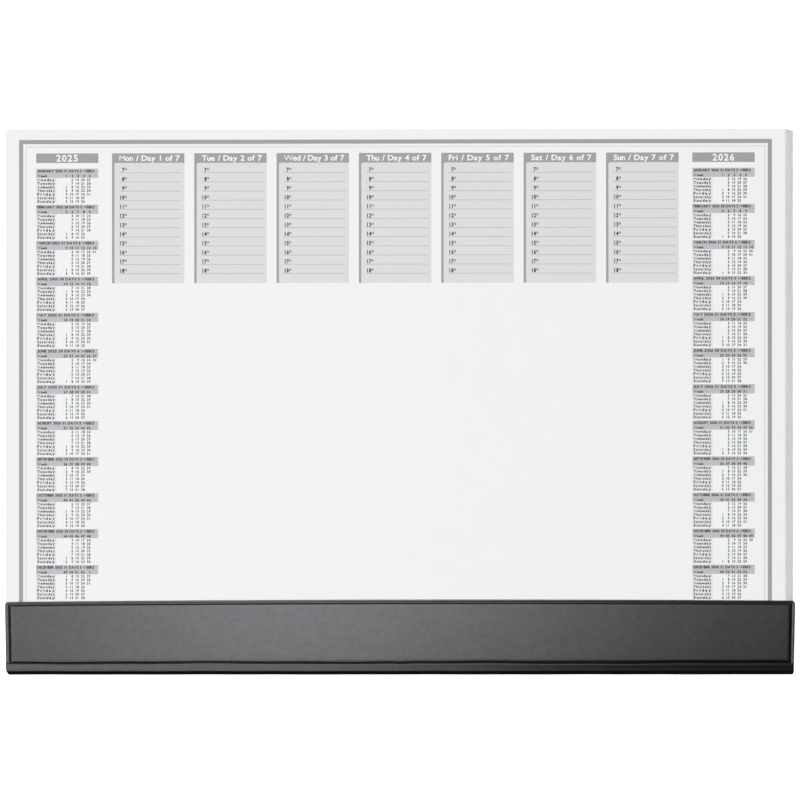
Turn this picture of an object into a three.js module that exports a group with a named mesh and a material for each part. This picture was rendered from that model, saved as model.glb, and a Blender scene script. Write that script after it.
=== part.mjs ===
// A desk pad calendar: a block of tear-off sheets on a backing board, held along its front edge
// by a leatherette strip that folds over the top, the front and the underside.
// Millimetres, +X right, +Y away from the user, +Z up. The origin is below the middle of the pad,
// on the table.

import * as THREE from "three";

// Overall format
const overall_depth = 410;
const sheet_width = 587.5;

// Sheets and board
const block_height = 5;
const sheet_left_inset = 0.3; // top sheet's left edge, in from the strip's left end
const lean_right = 0.9; // lower sheets lie further right, mm for each mm down
const lean_forward = 0.32; // and further forward, like the strip's sloping front wall
const glue_thickness = 0.3;
const board_thickness = 1.2;
const board_overhang = 1; // the board stands out from the lowest sheet on the right
const board_end_margin = 1.7; // board's right edge, in from the strip's right end
const block_clearance = 0.3; // between the glued edge and the strip's lining

// Strip
const strip_depth = 54.6;
const flap_depth = 45;
const film_thickness = 0.5;
const weld_thickness = 0.15; // what the weld leaves of the cover film
const lining_thickness = 0.25;
const card_thickness = 0.9;
const adhesive_thickness = 0.2;
const adhesive_width = 36;
const bend_radius = 0.8; // outside of the lining, at the two front edges
const corner_radius = 2.5; // of the strip's free corners, seen from above
const rim_width = 1.8;
const rim_fall = 0.5; // from the rim's top down into the groove
const groove_width = 1;
const shoulder_width = 2.3; // from the groove up to the raised panel
const hinge_distance = 8.1; // front of the pad to the hinge groove
const hinge_width = 2.1;
const hinge_shoulder = 3.2;
const band_rise = 0.7; // from the hinge groove up to the band in front of it
const band_fill = 0.4; // room under the band's film
const pocket_setback = 0.4; // the film leaves the lining this far beyond the groove
const card_margin = 0.4; // card edge to the film's slope

// Print on the top sheet
const ink_thickness = 0.1;
const frame_side_margin = 10.2;
const frame_rear_margin = 7.9;
const frame_front_margin = 8;
const frame_line = 3.1;
const bar_rear_margin = 18;
const bar_height = 7.2;
const day_count = 7;
const day_gap = 7.5;
const day_side_gap = 10.35; // between a month column and the first or last day
const day_rule = 1.8; // the dark rule down the left side of a day
const day_depth = 90.5;
const day_corner_radius = 1.5;
const month_count = 12;
const month_width = 46.9;
const month_side_margin = 23.1;
const month_rear_margin = 29.5;
const month_pitch = 27.1;
const month_band_depth = 6.9;

// Widths that follow from the sheet
const lean_across = lean_right * block_height;
const strip_width =
  sheet_left_inset + sheet_width + lean_across + board_overhang + board_end_margin;
const days_across = month_side_margin + month_width + day_side_gap;
const day_gaps = day_gap * (day_count - 1);
const day_width = (sheet_width - 2 * days_across - day_gaps) / day_count;

// Heights, from the table up
const board_bottom = film_thickness + lining_thickness + adhesive_thickness;
const block_bottom = board_bottom + board_thickness;
const block_top = block_bottom + block_height;
const ink_top = block_top + ink_thickness;
const lining_top = ink_top + lining_thickness; // outer side of the lining, on the pad's top
const lining_bottom = film_thickness; // outer side of the lining, under the pad

// The strip's front wall: two bends joined by a wall that leans back as it rises
const wall_angle = Math.atan(lean_forward);
const wall_outer = card_thickness + film_thickness;
const lower_bend = {
  y: -overall_depth / 2 + bend_radius + wall_outer,
  z: lining_bottom + bend_radius,
};
const upper_bend_z = lining_top - bend_radius;
const upper_bend = {
  y: lower_bend.y + (upper_bend_z - lower_bend.z) * lean_forward,
  z: upper_bend_z,
};

// Places of the sheets
const wallY = (z) =>
  lower_bend.y - bend_radius / Math.cos(wall_angle) + (z - lower_bend.z) * lean_forward;
const sheetFrontY = (z) =>
  wallY(z) + lining_thickness / Math.cos(wall_angle) + block_clearance + glue_thickness;
const sheetLeftX = (z) => -strip_width / 2 + sheet_left_inset + (block_top - z) * lean_right;
const sheet_depth = overall_depth / 2 - sheetFrontY(block_top);
const sheet_left = sheetLeftX(block_top);
const sheet_rear = overall_depth / 2;

// The film's rise over a card's edge: steep at first, then level, as a quarter of an ellipse
const rounded = (t) => {
  const left = 1 - Math.min(Math.max(t, 0), 1);
  return Math.sqrt(1 - left * left);
};

// How high the film's two sides stand over the lining, a distance d in from a welded edge
const groove_end = rim_width + rim_fall + groove_width;
const panel_start = groove_end + shoulder_width;
function edgeProfile(d) {
  if (d <= rim_width) return { outer: film_thickness, inner: 0 };
  if (d <= groove_end) return { outer: weld_thickness, inner: 0 };
  const rise = wall_outer - weld_thickness;
  const climb = shoulder_width - pocket_setback - card_margin;
  return {
    outer: weld_thickness + rise * rounded((d - groove_end) / shoulder_width),
    inner: card_thickness * rounded((d - groove_end - pocket_setback) / climb),
  };
}
const edge_steps = [
  0,
  rim_width,
  rim_width + rim_fall,
  groove_end,
  groove_end + shoulder_width * 0.25,
  groove_end + shoulder_width * 0.5,
  groove_end + shoulder_width * 0.75,
  panel_start,
];

// How far a rounded corner draws the strip's end in, a distance d in front of a free edge
function cornerInset(d) {
  if (d >= corner_radius) return 0;
  const left = corner_radius - d;
  return corner_radius - Math.sqrt(corner_radius * corner_radius - left * left);
}
const corner_steps = [corner_radius * 0.12, corner_radius * 0.35];

// The strip's section, from its rear edge on the pad, over the front, to the flap's rear edge.
// A row is a point on the lining's outer side, the direction out of the strip there, and how
// high the film's outer and inner sides stand over that point.
const strip_rear = -overall_depth / 2 + strip_depth;
const hinge_front = -overall_depth / 2 + hinge_distance;
const hinge_rear = hinge_front + hinge_width;
const card_rear = strip_rear - panel_start;
const card_front = hinge_rear + hinge_shoulder;

function topRow(y, outer, inner) {
  const fromRear = strip_rear - y;
  return { y, z: lining_top, ny: 0, nz: 1, outer, inner, fromRear, fromFree: fromRear };
}

function bendRow(bend, angle, outer, inner) {
  const ny = -Math.cos(angle);
  const nz = Math.sin(angle);
  return {
    y: bend.y + bend_radius * ny,
    z: bend.z + bend_radius * nz,
    ny,
    nz,
    outer,
    inner,
    fromRear: Infinity,
    fromFree: Infinity,
  };
}

function flapRow(fromFree) {
  const y = lower_bend.y + flap_depth - fromFree;
  const outer = film_thickness;
  return { y, z: lining_bottom, ny: 0, nz: -1, outer, inner: 0, fromRear: Infinity, fromFree };
}

function stripRows() {
  const rows = [];
  for (const d of [...edge_steps, ...corner_steps].sort((a, b) => a - b)) {
    const { outer, inner } = edgeProfile(d);
    rows.push(topRow(strip_rear - d, outer, inner));
  }
  const climb = hinge_shoulder - pocket_setback - card_margin;
  for (const part of [1, 0.7, 0.4, 0.2, 0]) {
    const d = hinge_shoulder * part;
    const outer = weld_thickness + (wall_outer - weld_thickness) * rounded(part);
    const inner = card_thickness * rounded((d - pocket_setback) / climb);
    rows.push(topRow(hinge_rear + d, outer, inner));
  }
  const band_outer = band_fill + film_thickness;
  for (const part of [0, 0.5, 1]) {
    const outer = weld_thickness + (band_outer - weld_thickness) * rounded(part);
    rows.push(topRow(hinge_front - band_rise * part, outer, band_fill * part * part));
  }
  for (const part of [0, 0.25, 0.5, 0.75, 1]) {
    const angle = Math.PI / 2 + (wall_angle - Math.PI / 2) * part;
    const inner = band_fill + (card_thickness - band_fill) * part;
    rows.push(bendRow(upper_bend, angle, inner + film_thickness, inner));
  }
  rows.push(bendRow(lower_bend, wall_angle, wall_outer, card_thickness));
  for (const part of [1, 0.75, 0.5, 0.25, 0]) {
    const inner = card_thickness * part * part;
    rows.push(bendRow(lower_bend, (part - 1) * Math.PI / 2, inner + film_thickness, inner));
  }
  for (const d of [corner_radius, ...corner_steps].sort((a, b) => b - a)) rows.push(flapRow(d));
  rows.push(flapRow(0));
  return rows;
}
const strip_rows = stripRows();

// A column is a distance in from the strip's left or right end
function stripColumns(steps) {
  const left = steps.map((inset) => ({ side: -1, inset }));
  const right = steps.map((inset) => ({ side: 1, inset })).reverse();
  return [...left, ...right];
}

// A folded sheet with a thickness: two grids of points, one for each side, closed at the edges
function foldedSheet(rows, columns, outerHeight, innerHeight) {
  const positions = [];
  const place = (row, column, height) => {
    const x = column.side * (strip_width / 2 - cornerInset(row.fromFree) - column.inset);
    positions.push(x, row.y + row.ny * height, row.z + row.nz * height);
  };
  for (const row of rows) for (const column of columns) place(row, column, outerHeight(row, column));
  for (const row of rows) for (const column of columns) place(row, column, innerHeight(row, column));
  const across = columns.length;
  const underside = rows.length * across;
  const triangles = [];
  const quad = (a, b, c, d) => triangles.push(a, b, c, a, c, d);
  for (let r = 0; r + 1 < rows.length; r += 1) {
    for (let c = 0; c + 1 < across; c += 1) {
      const near = r * across + c;
      const far = near + across;
      quad(near, far, far + 1, near + 1);
      quad(underside + near, underside + near + 1, underside + far + 1, underside + far);
    }
  }
  const edge = (a, b) => quad(a, b, underside + b, underside + a);
  const last = (rows.length - 1) * across;
  for (let c = 0; c + 1 < across; c += 1) {
    edge(c, c + 1);
    edge(last + c + 1, last + c);
  }
  for (let r = 0; r + 1 < rows.length; r += 1) {
    edge((r + 1) * across, r * across);
    edge(r * across + across - 1, (r + 1) * across + across - 1);
  }
  const geometry = new THREE.BufferGeometry();
  geometry.setAttribute("position", new THREE.Float32BufferAttribute(positions, 3));
  geometry.setIndex(triangles);
  geometry.computeVertexNormals();
  return geometry;
}

// The cover film: flat on the lining at the rim, pressed thin in the welded grooves, and lifted
// by the cards between them
function stripCover() {
  const onRim = (row, column) => Math.min(row.fromRear, column.inset) <= rim_width;
  const outer = (row, column) =>
    onRim(row, column) ? film_thickness : Math.min(row.outer, edgeProfile(column.inset).outer);
  const inner = (row, column) =>
    onRim(row, column) ? 0 : Math.min(row.inner, edgeProfile(column.inset).inner);
  return foldedSheet(strip_rows, stripColumns(edge_steps), outer, inner);
}

function stripLining() {
  return foldedSheet(strip_rows, stripColumns([0]), () => 0, () => -lining_thickness);
}

// A box between two corners
function boxBetween(low, high) {
  const size = high.map((value, axis) => value - low[axis]);
  const geometry = new THREE.BoxGeometry(...size);
  geometry.translate(...low.map((value, axis) => value + size[axis] / 2));
  return geometry;
}

// A solid between two four-cornered faces, given in the same order round, upper face first
function slabBetween(upper, lower) {
  const geometry = new THREE.BufferGeometry();
  const points = [...upper, ...lower].flat();
  geometry.setAttribute("position", new THREE.Float32BufferAttribute(points, 3));
  const index = [0, 1, 2, 0, 2, 3, 4, 6, 5, 4, 7, 6];
  for (let side = 0; side < 4; side += 1) {
    const next = (side + 1) % 4;
    index.push(side, side + 4, next + 4, side, next + 4, next);
  }
  geometry.setIndex(index);
  geometry.computeVertexNormals();
  return geometry;
}

// One sheet's outline at height z: front left, front right, rear right, rear left
function sheetOutline(z, front, depth) {
  const left = sheetLeftX(z);
  const right = left + sheet_width;
  return [
    [left, front, z],
    [right, front, z],
    [right, front + depth, z],
    [left, front + depth, z],
  ];
}

function leaningSlab(frontOffset, depth) {
  const outline = (z) => sheetOutline(z, sheetFrontY(z) + frontOffset, depth);
  return slabBetween(outline(block_top), outline(block_bottom));
}

function backingBoard() {
  const left = sheetLeftX(block_bottom);
  const front = sheetFrontY(block_bottom);
  const right = left + sheet_width + board_overhang;
  return boxBetween([left, front, board_bottom], [right, front + sheet_depth, block_bottom]);
}

const card_half_width = strip_width / 2 - panel_start;

function topStiffener() {
  return boxBetween(
    [-card_half_width, card_front, lining_top],
    [card_half_width, card_rear, lining_top + card_thickness],
  );
}

function spineStiffener() {
  const top = bendRow(upper_bend, wall_angle, 0, 0);
  const bottom = bendRow(lower_bend, wall_angle, 0, 0);
  const point = (x, row, height) => [x, row.y + row.ny * height, row.z + row.nz * height];
  const face = (row) => [
    point(-card_half_width, row, card_thickness),
    point(card_half_width, row, card_thickness),
    point(card_half_width, row, 0),
    point(-card_half_width, row, 0),
  ];
  return slabBetween(face(top), face(bottom));
}

function flapAdhesive() {
  const front = sheetFrontY(block_bottom);
  const bottom = lining_bottom + lining_thickness;
  return boxBetween(
    [-card_half_width, front, bottom],
    [card_half_width, front + adhesive_width, board_bottom],
  );
}

// Ink fields stand on the top sheet. A place on it is counted from its rear left corner:
// across to the right, and down towards the user.
function inkField(outline) {
  const shape = new THREE.Shape(
    outline.map(([across, down]) => new THREE.Vector2(sheet_left + across, sheet_rear - down)),
  );
  const geometry = new THREE.ExtrudeGeometry(shape, { depth: ink_thickness, bevelEnabled: false });
  geometry.translate(0, 0, block_top);
  return geometry;
}

function inkBar(across, down, width, depth) {
  return inkField([
    [across, down],
    [across + width, down],
    [across + width, down + depth],
    [across, down + depth],
  ]);
}

const frame_across = sheet_width - 2 * frame_side_margin;
const frame_down = frame_rear_margin + frame_line;
const frame_run = sheet_depth - frame_down - frame_front_margin;

// A day's pale field has one round corner, which the dark head bar and side rule follow
function dayCorner(across) {
  const points = [];
  for (const part of [0, 0.25, 0.5, 0.75, 1]) {
    const angle = part * Math.PI / 2;
    points.push([
      across + day_rule + day_corner_radius * (1 - Math.cos(angle)),
      bar_rear_margin + bar_height + day_corner_radius * (1 - Math.sin(angle)),
    ]);
  }
  return points;
}

function dayField(across) {
  const foot = bar_rear_margin + bar_height + day_depth;
  const right = across + day_width;
  return inkField([
    [across + day_rule, foot],
    ...dayCorner(across),
    [right, bar_rear_margin + bar_height],
    [right, foot],
  ]);
}

function dayHead(across) {
  const foot = bar_rear_margin + bar_height + day_depth;
  const right = across + day_width;
  return inkField([
    [across, foot],
    [across, bar_rear_margin],
    [right, bar_rear_margin],
    [right, bar_rear_margin + bar_height],
    ...dayCorner(across).reverse(),
    [across + day_rule, foot],
  ]);
}

const finish = (color, roughness) =>
  new THREE.MeshStandardMaterial({ color, roughness, metalness: 0 });
const paper = finish(0xf0f3f2, 0.85);
const glue = finish(0xe4e2d8, 0.5);
const greyboard = finish(0xcfcfcc, 0.9);
const leatherette = finish(0x3c3e40, 0.45);
const lining_film = finish(0x2a2b2d, 0.5);
const card = finish(0xa9a49a, 0.9);
const adhesive = finish(0xd8d4c4, 0.6);
const ink_dark = finish(0xa3a3a6, 0.8);
const ink_band = finish(0xc1c1c5, 0.8);
const ink_pale = finish(0xdedede, 0.8);

const desk_pad = new THREE.Group();

function addPiece(name, geometry, material) {
  geometry.deleteAttribute("uv");
  const mesh = new THREE.Mesh(geometry, material);
  mesh.name = name;
  desk_pad.add(mesh);
}

addPiece("sheet_block", leaningSlab(0, sheet_depth), paper);
addPiece("binding_glue", leaningSlab(-glue_thickness, glue_thickness), glue);
addPiece("backing_board", backingBoard(), greyboard);
addPiece("strip_cover", stripCover(), leatherette);
addPiece("strip_lining", stripLining(), lining_film);
addPiece("top_stiffener", topStiffener(), card);
addPiece("spine_stiffener", spineStiffener(), card);
addPiece("flap_adhesive", flapAdhesive(), adhesive);

addPiece(
  "print_frame_rear",
  inkBar(frame_side_margin, frame_rear_margin, frame_across, frame_line),
  ink_dark,
);
addPiece("print_frame_left", inkBar(frame_side_margin, frame_down, frame_line, frame_run), ink_dark);
addPiece(
  "print_frame_right",
  inkBar(sheet_width - frame_side_margin - frame_line, frame_down, frame_line, frame_run),
  ink_dark,
);

for (let day = 0; day < day_count; day += 1) {
  const across = days_across + day * (day_width + day_gap);
  addPiece(`print_day_head_${day + 1}`, dayHead(across), ink_dark);
  addPiece(`print_day_field_${day + 1}`, dayField(across), ink_pale);
}

const year_columns = {
  left: month_side_margin,
  right: sheet_width - month_side_margin - month_width,
};
for (const [side, across] of Object.entries(year_columns)) {
  addPiece(`print_year_${side}`, inkBar(across, bar_rear_margin, month_width, bar_height), ink_dark);
  for (let month = 0; month < month_count; month += 1) {
    const down = month_rear_margin + month * month_pitch;
    const bar = inkBar(across, down, month_width, month_band_depth);
    addPiece(`print_month_${side}_${month + 1}`, bar, ink_band);
  }
}

export default desk_pad;
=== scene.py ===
# %% [markdown]
# # A desk pad calendar
#
# The pad is a block of tear-off sheets on a board. A strip of dark leatherette film folds over its
# front edge, with card welded inside it. The measured solids come first, as a fixed frame, and
# everything below is built around them. Blender works in metres here, so a size in millimetres is
# multiplied by MM.

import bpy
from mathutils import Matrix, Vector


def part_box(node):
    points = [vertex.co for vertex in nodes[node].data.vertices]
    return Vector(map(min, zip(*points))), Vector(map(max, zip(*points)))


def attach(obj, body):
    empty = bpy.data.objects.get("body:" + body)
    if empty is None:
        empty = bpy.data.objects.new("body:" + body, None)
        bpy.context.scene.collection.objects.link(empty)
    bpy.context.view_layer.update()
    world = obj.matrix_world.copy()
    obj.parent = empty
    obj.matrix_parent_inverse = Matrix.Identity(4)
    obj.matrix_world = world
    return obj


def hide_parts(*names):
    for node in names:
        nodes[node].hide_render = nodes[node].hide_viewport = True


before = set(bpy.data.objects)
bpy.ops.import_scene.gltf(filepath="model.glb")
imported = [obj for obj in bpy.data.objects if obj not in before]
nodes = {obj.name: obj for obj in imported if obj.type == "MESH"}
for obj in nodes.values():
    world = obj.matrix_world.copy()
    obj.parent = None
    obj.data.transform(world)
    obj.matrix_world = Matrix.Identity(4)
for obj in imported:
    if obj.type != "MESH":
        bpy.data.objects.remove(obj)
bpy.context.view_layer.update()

# %% [markdown]
# The outlines of the real pieces are simple, so they are computed with numpy as whole arrays of
# points. Blender's bmesh is only used to close the outlines of letters into small solids.

# %% Libraries and units
import calendar
import datetime
import math

import bmesh
import bpy
import numpy as np
from mathutils import Matrix, Vector

MM = 0.001
scene = bpy.context.scene
print("solids in the frame:", len(nodes))

# %% [markdown]
# ## The camera
#
# The picture looks almost straight down on the pad, from slightly to the right, so that the right
# edge of the sheets shows as a pale band. A very long lens far away keeps the edges of the pad
# parallel, as a catalogue picture does. The camera's axes are worked out by hand, because the usual
# tracking turns a camera that looks straight down by an arbitrary angle.

# %% Camera
FRAME_WIDTH = 601.2 * MM      # what the picture takes in, from left to right
TILT_RIGHT = math.radians(4)
TILT_FRONT = math.radians(0.8)
AIM = Vector((0.1, 1.3, 5)) * MM
LENS = 1200.0                 # in mm on a 36 mm sensor
SENSOR = 36.0
CLIP_NEAR, CLIP_FAR = 1.0, 60.0


def place_camera():
    """A camera whose own up is the pad's +Y, laid square to the line of sight."""
    data = bpy.data.cameras.new("camera")
    data.lens, data.sensor_width = LENS, SENSOR
    data.clip_start, data.clip_end = CLIP_NEAR, CLIP_FAR
    camera = bpy.data.objects.new("camera", data)
    scene.collection.objects.link(camera)
    back = Vector((math.tan(TILT_RIGHT), -math.tan(TILT_FRONT), 1)).normalized()
    up = Vector((0, 1, 0))
    up = (up - back * up.dot(back)).normalized()
    right = up.cross(back)
    distance = FRAME_WIDTH / 2 / (SENSOR / 2 / LENS)
    turn = Matrix((right, up, back)).transposed().to_4x4()
    camera.matrix_world = Matrix.Translation(AIM + back * distance) @ turn
    scene.camera = camera
    return distance


print("camera distance, m:", round(place_camera(), 2))

# %% [markdown]
# ## Colours and nodes
#
# A colour picked from a picture is an sRGB hex value, but Blender's shaders take linear light, so
# one function converts it. A second small function adds a node, sets its fields and its inputs,
# and links them, so that a material reads as a short list of steps.

# %% Helpers for materials
def linear(hex_colour):
    """sRGB to linear light: a short straight piece near black, then a power of 2.4."""
    code = np.array([int(hex_colour[i:i + 2], 16) for i in (1, 3, 5)]) / 255
    light = np.where(code <= 0.04045, code / 12.92, ((code + 0.055) / 1.055) ** 2.4)
    return (*light.tolist(), 1.0)


def add_node(tree, kind, inputs=None, **fields):
    """Adds a node. An input is given a value, or an output of another node to link from."""
    node = tree.nodes.new(kind)
    for name, value in fields.items():
        setattr(node, name, value)
    for name, value in (inputs or {}).items():
        if isinstance(value, bpy.types.NodeSocket):
            tree.links.new(value, node.inputs[name])
        else:
            node.inputs[name].default_value = value
    return node


def new_material(name):
    """An empty material with its output node: returns the material, its tree and the output."""
    material = bpy.data.materials.new(name)
    material.use_nodes = True
    tree = material.node_tree
    tree.nodes.clear()
    return material, tree, add_node(tree, "ShaderNodeOutputMaterial")


def finish_material(tree, output, shader):
    """Links the shader to the output, as every surface here ends."""
    tree.links.new(shader.outputs["BSDF"], output.inputs["Surface"])


# %% [markdown]
# ## Paper
#
# The sheets are uncoated writing paper: pressed wood fibres, matt, very slightly uneven. The
# fibres are only a few hundredths of a millimetre wide, so they are drawn about ten times as
# coarse to be seen at all. Two noises do it: one for the clouds that show when paper is held up
# to the light, and one for the felt of fibres that catches the light from the side.

# %% Paper material
FIBRE = 0.35 * MM             # a bundle of fibres, drawn coarse
CLOUD = 14 * MM               # the patches that show against the light


def cloudy_colour(tree, place, hex_dark, hex_light, size):
    """A colour that wanders between two close tones over patches of the given size."""
    noise = add_node(tree, "ShaderNodeTexNoise",
                     {"Vector": place, "Scale": 1 / size, "Detail": 3.0, "Roughness": 0.6})
    mix = add_node(tree, "ShaderNodeMix", {"Factor": noise.outputs["Fac"]}, data_type="RGBA")
    mix.inputs["A"].default_value = linear(hex_dark)
    mix.inputs["B"].default_value = linear(hex_light)
    return mix.outputs["Result"]


def matt_stock(name, tones, cloud, grain, depth, strength, noise, finish):
    """A stock in two close tones that change over clouds, with bumps from a noise of the given
    grain. noise and finish are further inputs of the noise and of the shader."""
    material, tree, output = new_material(name)
    place = add_node(tree, "ShaderNodeTexCoord").outputs["Object"]
    colour = cloudy_colour(tree, place, *tones, cloud)
    felt = add_node(tree, "ShaderNodeTexNoise", {"Vector": place, "Scale": 1 / grain, **noise})
    bump = add_node(tree, "ShaderNodeBump",
                    {"Height": felt.outputs["Fac"], "Distance": depth, "Strength": strength})
    shader = add_node(tree, "ShaderNodeBsdfPrincipled",
                      {"Base Color": colour, "Normal": bump.outputs["Normal"], **finish})
    finish_material(tree, output, shader)
    return material


def uncoated_paper(name, hex_dark, hex_light, fibre=FIBRE):
    """Matt fibres: almost no gloss, a soft felt of bumps, a barely visible cloudiness."""
    return matt_stock(name, (hex_dark, hex_light), CLOUD, fibre, 0.012 * MM, 0.6,
                      {"Detail": 4.0, "Roughness": 0.7},
                      {"Roughness": 0.88, "IOR": 1.5, "Specular IOR Level": 0.25})


sheet_paper = uncoated_paper("sheet_paper", "#eaeceb", "#edefee")
edge_paper = uncoated_paper("cut_edge_paper", "#dfe1e2", "#eceeee", fibre=0.5 * MM)
print("papers:", sheet_paper.name, edge_paper.name)

# %% [markdown]
# ## Ink
#
# Offset ink sinks into uncoated paper, so a grey field keeps the paper's matt felt and is never
# quite even: it is mottled, a little paler where a fibre took less ink. Each tone is one material
# made by the same function. The white lettering in the dark bars is bare paper on the real sheet,
# so it takes nearly the paper's own tone.

# %% Ink materials
MOTTLE = 1.1 * MM             # the patches in which the ink is a little paler


def offset_ink(name, hex_dark, hex_light):
    """Ink in the felt of the paper: two close tones in a fine mottle, and hardly any gloss."""
    return matt_stock(name, (hex_dark, hex_light), MOTTLE, FIBRE, 0.01 * MM, 0.5,
                      {"Detail": 4.0},
                      {"Roughness": 0.8, "IOR": 1.5, "Specular IOR Level": 0.25})


ink_dark = offset_ink("grey_ink_dark", "#98999c", "#a0a1a4")
ink_mid = offset_ink("grey_ink_mid", "#b7b7bb", "#bfbfc3")
ink_pale = offset_ink("grey_ink_pale", "#d5d6d8", "#d9dadc")
ink_faint = offset_ink("grey_ink_faint", "#dcddde", "#e0e1e2")
ink_rule = offset_ink("grey_ink_rule", "#a9abae", "#b1b3b6")
ink_black = offset_ink("black_ink", "#161718", "#222324")
ink_soft = offset_ink("dark_grey_ink", "#343538", "#404144")
bare_paper = offset_ink("bare_paper", "#f0f1f1", "#f4f5f5")
print("greys:", ", ".join(ink.name for ink in (ink_dark, ink_rule, ink_mid, ink_pale, ink_faint)))

# %% [markdown]
# ## Leatherette and the other materials
#
# The strip is PVC film embossed with a fine leather grain, so it is black, softly shiny and
# finely wrinkled. The grain is a Voronoi pattern of cells about 0.7 mm across with creases
# between them, and a finer noise on top. Film over card is also never quite flat, so a noise of a
# few millimetres tilts the surface a little and changes its gloss, which mottles the reflection.
# The roughness wanders in wide patches, as on film that is wiped and handled. The board, glue,
# card and adhesive are mostly hidden, but each still gets its own plain material.

# %% Leatherette and film
GRAIN = 0.7 * MM              # one cell of the embossed grain
RIPPLE = 3.6 * MM             # one swelling of the film over the card
SMEAR = 22 * MM               # one patch of a little more or less gloss
BASE_CLOUD = 5 * MM           # one patch of a little lighter or darker black


def embossed_leatherette():
    """Black film: a dark base, a soft gloss, and bumps from cells, pores and ripples."""
    material, tree, output = new_material("embossed_leatherette")
    place = add_node(tree, "ShaderNodeTexCoord").outputs["Object"]
    cells = add_node(tree, "ShaderNodeTexVoronoi",
                     {"Vector": place, "Scale": 1 / GRAIN}, feature="DISTANCE_TO_EDGE")
    creases = add_node(tree, "ShaderNodeMapRange",
                       {"Value": cells.outputs["Distance"], "From Max": 0.12})
    pores = add_node(tree, "ShaderNodeTexNoise",
                     {"Vector": place, "Scale": 3 / GRAIN, "Detail": 3.0})
    height = add_node(tree, "ShaderNodeMath",
                      {0: creases.outputs["Result"], 1: pores.outputs["Fac"]}, operation="ADD")
    grain = add_node(tree, "ShaderNodeBump",
                     {"Height": height.outputs["Value"], "Distance": 0.006 * MM,
                      "Strength": 0.5})
    ripple = add_node(tree, "ShaderNodeTexNoise",
                      {"Vector": place, "Scale": 1 / RIPPLE, "Detail": 3.0})
    bump = add_node(tree, "ShaderNodeBump",
                    {"Height": ripple.outputs["Fac"], "Distance": 0.06 * MM, "Strength": 0.5,
                     "Normal": grain.outputs["Normal"]})
    smear = add_node(tree, "ShaderNodeTexNoise",
                     {"Vector": place, "Scale": 1 / SMEAR, "Detail": 4.0})
    rough = add_node(tree, "ShaderNodeMapRange",
                     {"Value": smear.outputs["Fac"], "To Min": 0.29, "To Max": 0.31})
    gloss = add_node(tree, "ShaderNodeMapRange",
                     {"Value": ripple.outputs["Fac"], "From Min": 0.3, "From Max": 0.7,
                      "To Min": 0.46, "To Max": 0.54})
    colour = cloudy_colour(tree, place, "#060809", "#0a0b0c", BASE_CLOUD)
    shader = add_node(tree, "ShaderNodeBsdfPrincipled",
                      {"Base Color": colour, "Normal": bump.outputs["Normal"],
                       "Roughness": rough.outputs["Result"], "IOR": 1.53,
                       "Specular IOR Level": gloss.outputs["Result"]})
    finish_material(tree, output, shader)
    return material


def plain_board(name, hex_dark, hex_light, roughness, speck, depth):
    """A mostly hidden stock: two close tones in specks, and a slight bump of the same specks."""
    return matt_stock(name, (hex_dark, hex_light), speck, speck, depth, 0.5, {},
                      {"Roughness": roughness})


leatherette = embossed_leatherette()
lining_film = plain_board("smooth_film", "#101113", "#151618", 0.4, 0.9 * MM, 0.004 * MM)
greyboard = plain_board("greyboard", "#c9cac9", "#d6d7d6", 0.92, 1.4 * MM, 0.03 * MM)
padding_glue = plain_board("padding_glue", "#dcdacf", "#e6e4da", 0.45, 2.0 * MM, 0.02 * MM)
stiffener_card = plain_board("stiffener_card", "#9d968a", "#aaa498", 0.92, 1.1 * MM, 0.03 * MM)
adhesive_film = plain_board("adhesive_film", "#cfcab8", "#dad6c6", 0.55, 3.0 * MM, 0.01 * MM)
print("materials so far:", len(bpy.data.materials))

# %% [markdown]
# ## The solids that stay
#
# Most solids of the frame already have the right shape: flat bars and fields of ink, the board
# and the cards. They could be built again with rounded edges, but a printed bar has none that
# can be seen, and the others are hidden. So they stay, and only take their material.

# %% Materials for the solids that stay
NODE_INKS = {
    "print_frame": ink_dark,
    "print_day_head": ink_dark,
    "print_day_field": ink_pale,
    "print_year": ink_dark,
    "print_month": ink_mid,
}
NODE_STOCKS = {
    "binding_glue": padding_glue,
    "backing_board": greyboard,
    "top_stiffener": stiffener_card,
    "spine_stiffener": stiffener_card,
    "flap_adhesive": adhesive_film,
}


def dress(node_name, material):
    """Gives a solid one material, in place of what it had."""
    slots = nodes[node_name].data.materials
    slots.clear()
    slots.append(material)


for node_name in nodes:
    for start, ink in NODE_INKS.items():
        if node_name.startswith(start):
            dress(node_name, ink)
for node_name, stock in NODE_STOCKS.items():
    dress(node_name, stock)
print("solids of ink:", len([name for name in nodes if name.startswith("print_")]),
      "and others:", len(NODE_STOCKS))

# %% [markdown]
# ## Putting points into meshes
#
# Every new piece is a set of points computed by numpy and a set of faces that index them. One
# function makes the object, lets it ride on the frame and gives it its material.

# %% Helper for new pieces
def add_piece(name, points, faces, material, smooth_angle=None):
    """Puts computed points and faces into a mesh. Below smooth_angle, edges are shaded smooth."""
    mesh = bpy.data.meshes.new(name)
    mesh.from_pydata(np.asarray(points).reshape(-1, 3).tolist(), [], faces)
    mesh.materials.append(material)
    if smooth_angle is not None:
        mesh.polygons.foreach_set("use_smooth", [True] * len(mesh.polygons))
        mesh.set_sharp_from_angle(angle=math.radians(smooth_angle))
    mesh.update()
    piece = bpy.data.objects.new(name, mesh)
    scene.collection.objects.link(piece)
    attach(piece, "root")
    print(f"{name}: {len(mesh.polygons)} faces")
    return piece


# %% [markdown]
# ## The sheets
#
# From a step away the block is a slab, but its cut edge shows that it is a stack: every sheet
# lies a hair further in or out than its neighbours. Fifty loose sheets would give that edge, but
# the pad is glued into one block, so it is one closed slab with a few rings of corners for each
# sheet. The stack leans to the right and to the front as the solid does, so its corners are read
# from the solid, and each sheet is then shifted by a few hundredths of a millimetre.

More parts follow.
